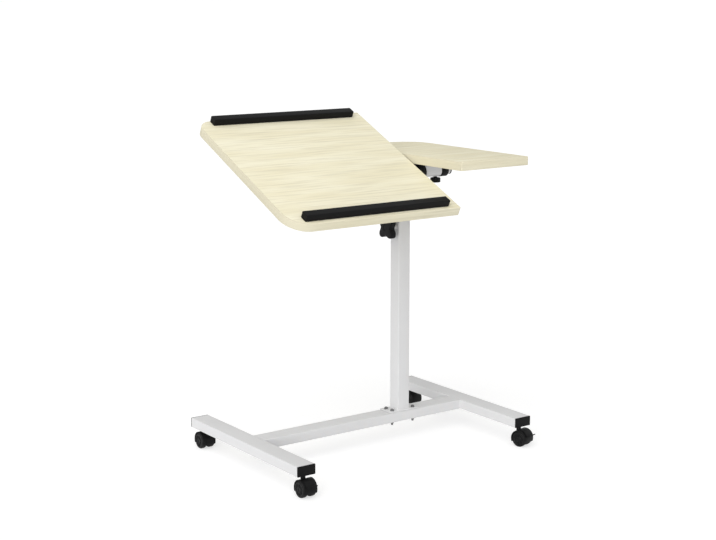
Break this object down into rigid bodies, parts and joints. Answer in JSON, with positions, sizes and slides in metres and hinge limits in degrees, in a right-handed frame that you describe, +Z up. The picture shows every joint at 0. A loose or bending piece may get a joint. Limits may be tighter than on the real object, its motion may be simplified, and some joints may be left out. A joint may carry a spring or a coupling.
{
  "type": "mobile laptop table",
  "caption": "Mobile laptop table: tilting top with stop bars and a side top on a telescoping column, H base on swivel casters.",
  "frame": {"origin": "on the floor under the axis of the column", "axes": "+X to the user's right along the spreader, +Y to the back, +Z up along the column"},
  "size_m": [0.7295, 0.5297, 0.8599],
  "materials": {
    "white_paint": "white powder coat, satin",
    "birch_laminate": "pale birch laminate",
    "black_plastic": "black moulded nylon",
    "stop_rubber": "black extruded rubber",
    "zinc_steel": "zinc plated",
    "wheel_tread": "black nylon wheel"
  },
  "bodies": {
    "base": {"left_foot": "white_paint", "right_foot": "white_paint", "spreader_bar": "white_paint", "left_front_cap": "black_plastic", "left_rear_cap": "black_plastic", "right_front_cap": "black_plastic", "right_rear_cap": "black_plastic", "outer_column": "white_paint", "column_bush": "black_plastic", "front_left_flange_bolt": "zinc_steel", "front_left_flange_nut": "zinc_steel", "front_right_flange_bolt": "zinc_steel", "front_right_flange_nut": "zinc_steel", "rear_left_flange_bolt": "zinc_steel", "rear_left_flange_nut": "zinc_steel", "rear_right_flange_bolt": "zinc_steel", "rear_right_flange_nut": "zinc_steel", "front_left_caster_stem": "zinc_steel", "front_right_caster_stem": "zinc_steel", "rear_left_caster_stem": "zinc_steel", "rear_right_caster_stem": "zinc_steel"},
    "mast": {"inner_column": "white_paint", "inner_glide": "black_plastic", "cross_tube": "white_paint", "side_inner_collar": "black_plastic", "side_outer_collar": "black_plastic", "main_inner_collar": "black_plastic", "main_outer_collar": "black_plastic", "side_end_cap": "black_plastic", "main_end_cap": "black_plastic"},
    "main_desk": {"main_top": "birch_laminate", "front_stop_bar": "stop_rubber", "rear_stop_bar": "stop_rubber", "main_bracket": "white_paint"},
    "side_desk": {"side_top": "birch_laminate", "side_bracket": "white_paint"},
    "height_screw": {"height_stud": "zinc_steel"},
    "height_handle": {"height_knob": "black_plastic"},
    "main_lock_screw": {"main_lock_stud": "zinc_steel"},
    "main_lock_handle": {"main_lock_knob": "black_plastic"},
    "side_lock_screw": {"side_lock_stud": "zinc_steel"},
    "side_lock_handle": {"side_lock_knob": "black_plastic"},
    "front_left_fork": {"front_left_caster_hood": "black_plastic", "front_left_caster_axle": "zinc_steel"},
    "front_left_right_wheel": {"front_left_caster_wheel_right": "wheel_tread"},
    "front_left_left_wheel": {"front_left_caster_wheel_left": "wheel_tread"},
    "front_left_pedal": {"front_left_caster_brake_pedal": "black_plastic"},
    "front_right_fork": {"front_right_caster_hood": "black_plastic", "front_right_caster_axle": "zinc_steel"},
    "front_right_right_wheel": {"front_right_caster_wheel_right": "wheel_tread"},
    "front_right_left_wheel": {"front_right_caster_wheel_left": "wheel_tread"},
    "front_right_pedal": {"front_right_caster_brake_pedal": "black_plastic"},
    "rear_left_fork": {"rear_left_caster_hood": "black_plastic", "rear_left_caster_axle": "zinc_steel"},
    "rear_left_right_wheel": {"rear_left_caster_wheel_right": "wheel_tread"},
    "rear_left_left_wheel": {"rear_left_caster_wheel_left": "wheel_tread"},
    "rear_right_fork": {"rear_right_caster_hood": "black_plastic", "rear_right_caster_axle": "zinc_steel"},
    "rear_right_right_wheel": {"rear_right_caster_wheel_right": "wheel_tread"},
    "rear_right_left_wheel": {"rear_right_caster_wheel_left": "wheel_tread"}
  },
  "joints": [
    {"name": "column_slide", "type": "slide", "parent": "base", "child": "mast", "axis": [0, 0, 1], "range_m": [-0.075, 0.2]},
    {"name": "main_top_tilt", "type": "hinge", "parent": "mast", "child": "main_desk", "pos_m": [0, 0, 0.7019], "axis": [1, 0, 0], "range_deg": [-25, 20]},
    {"name": "side_top_tilt", "type": "hinge", "parent": "mast", "child": "side_desk", "pos_m": [0, 0, 0.7019], "axis": [1, 0, 0], "range_deg": [0, 45]},
    {"name": "height_screw_travel", "type": "slide", "parent": "base", "child": "height_screw", "axis": [-1, 0, 0], "range_m": [0, 0.0013]},
    {"name": "height_knob_turn", "type": "hinge", "parent": "height_screw", "child": "height_handle", "pos_m": [-0.04, 0, 0.5654], "axis": [-1, 0, 0], "range_deg": [0, 360]},
    {"name": "main_lock_travel", "type": "slide", "parent": "main_desk", "child": "main_lock_screw", "axis": [0, 0.4226, -0.9063], "range_m": [0, 0.0011]},
    {"name": "main_lock_turn", "type": "hinge", "parent": "main_lock_screw", "child": "main_lock_handle", "pos_m": [-0.114, 0.01099, 0.67834], "axis": [0, 0.4226, -0.9063], "range_deg": [0, 360]},
    {"name": "side_lock_travel", "type": "slide", "parent": "side_desk", "child": "side_lock_screw", "axis": [0, 0, -1], "range_m": [0, 0.0011]},
    {"name": "side_lock_turn", "type": "hinge", "parent": "side_lock_screw", "child": "side_lock_handle", "pos_m": [0.114, 0, 0.6759], "axis": [0, 0, -1], "range_deg": [0, 360]},
    {"name": "front_left_swivel", "type": "hinge", "parent": "base", "child": "front_left_fork", "pos_m": [-0.462, -0.234, 0.045], "axis": [0, 0, 1], "continuous": true},
    {"name": "front_left_right_wheel_spin", "type": "hinge", "parent": "front_left_fork", "child": "front_left_right_wheel", "pos_m": [-0.462, -0.245, 0.02], "axis": [1, 0, 0], "continuous": true},
    {"name": "front_left_left_wheel_spin", "type": "hinge", "parent": "front_left_fork", "child": "front_left_left_wheel", "pos_m": [-0.462, -0.245, 0.02], "axis": [1, 0, 0], "continuous": true},
    {"name": "front_left_brake", "type": "hinge", "parent": "front_left_fork", "child": "front_left_pedal", "pos_m": [-0.462, -0.245, 0.02], "axis": [1, 0, 0], "range_deg": [0, 12]},
    {"name": "front_right_swivel", "type": "hinge", "parent": "base", "child": "front_right_fork", "pos_m": [0.212, -0.234, 0.045], "axis": [0, 0, 1], "continuous": true},
    {"name": "front_right_right_wheel_spin", "type": "hinge", "parent": "front_right_fork", "child": "front_right_right_wheel", "pos_m": [0.21485, -0.24463, 0.02], "axis": [0.9659, 0.2588, 0], "continuous": true},
    {"name": "front_right_left_wheel_spin", "type": "hinge", "parent": "front_right_fork", "child": "front_right_left_wheel", "pos_m": [0.21485, -0.24463, 0.02], "axis": [0.9659, 0.2588, 0], "continuous": true},
    {"name": "front_right_brake", "type": "hinge", "parent": "front_right_fork", "child": "front_right_pedal", "pos_m": [0.21485, -0.24463, 0.02], "axis": [0.9659, 0.2588, 0], "range_deg": [0, 12]},
    {"name": "rear_left_swivel", "type": "hinge", "parent": "base", "child": "rear_left_fork", "pos_m": [-0.462, 0.234, 0.045], "axis": [0, 0, 1], "continuous": true},
    {"name": "rear_left_right_wheel_spin", "type": "hinge", "parent": "rear_left_fork", "child": "rear_left_right_wheel", "pos_m": [-0.462, 0.223, 0.02], "axis": [1, 0, 0], "continuous": true},
    {"name": "rear_left_left_wheel_spin", "type": "hinge", "parent": "rear_left_fork", "child": "rear_left_left_wheel", "pos_m": [-0.462, 0.223, 0.02], "axis": [1, 0, 0], "continuous": true},
    {"name": "rear_right_swivel", "type": "hinge", "parent": "base", "child": "rear_right_fork", "pos_m": [0.212, 0.234, 0.045], "axis": [0, 0, 1], "continuous": true},
    {"name": "rear_right_right_wheel_spin", "type": "hinge", "parent": "rear_right_fork", "child": "rear_right_right_wheel", "pos_m": [0.21391, 0.22317, 0.02], "axis": [0.9848, 0.1736, 0], "continuous": true},
    {"name": "rear_right_left_wheel_spin", "type": "hinge", "parent": "rear_right_fork", "child": "rear_right_left_wheel", "pos_m": [0.21391, 0.22317, 0.02], "axis": [0.9848, 0.1736, 0], "continuous": true}
  ],
  "couplings": [
    {"joint": "height_screw_travel", "follows": "height_knob_turn", "m_per_rad": 0.00019894},
    {"joint": "main_lock_travel", "follows": "main_lock_turn", "m_per_rad": 0.00015915},
    {"joint": "side_lock_travel", "follows": "side_lock_turn", "m_per_rad": 0.00015915}
  ]
}
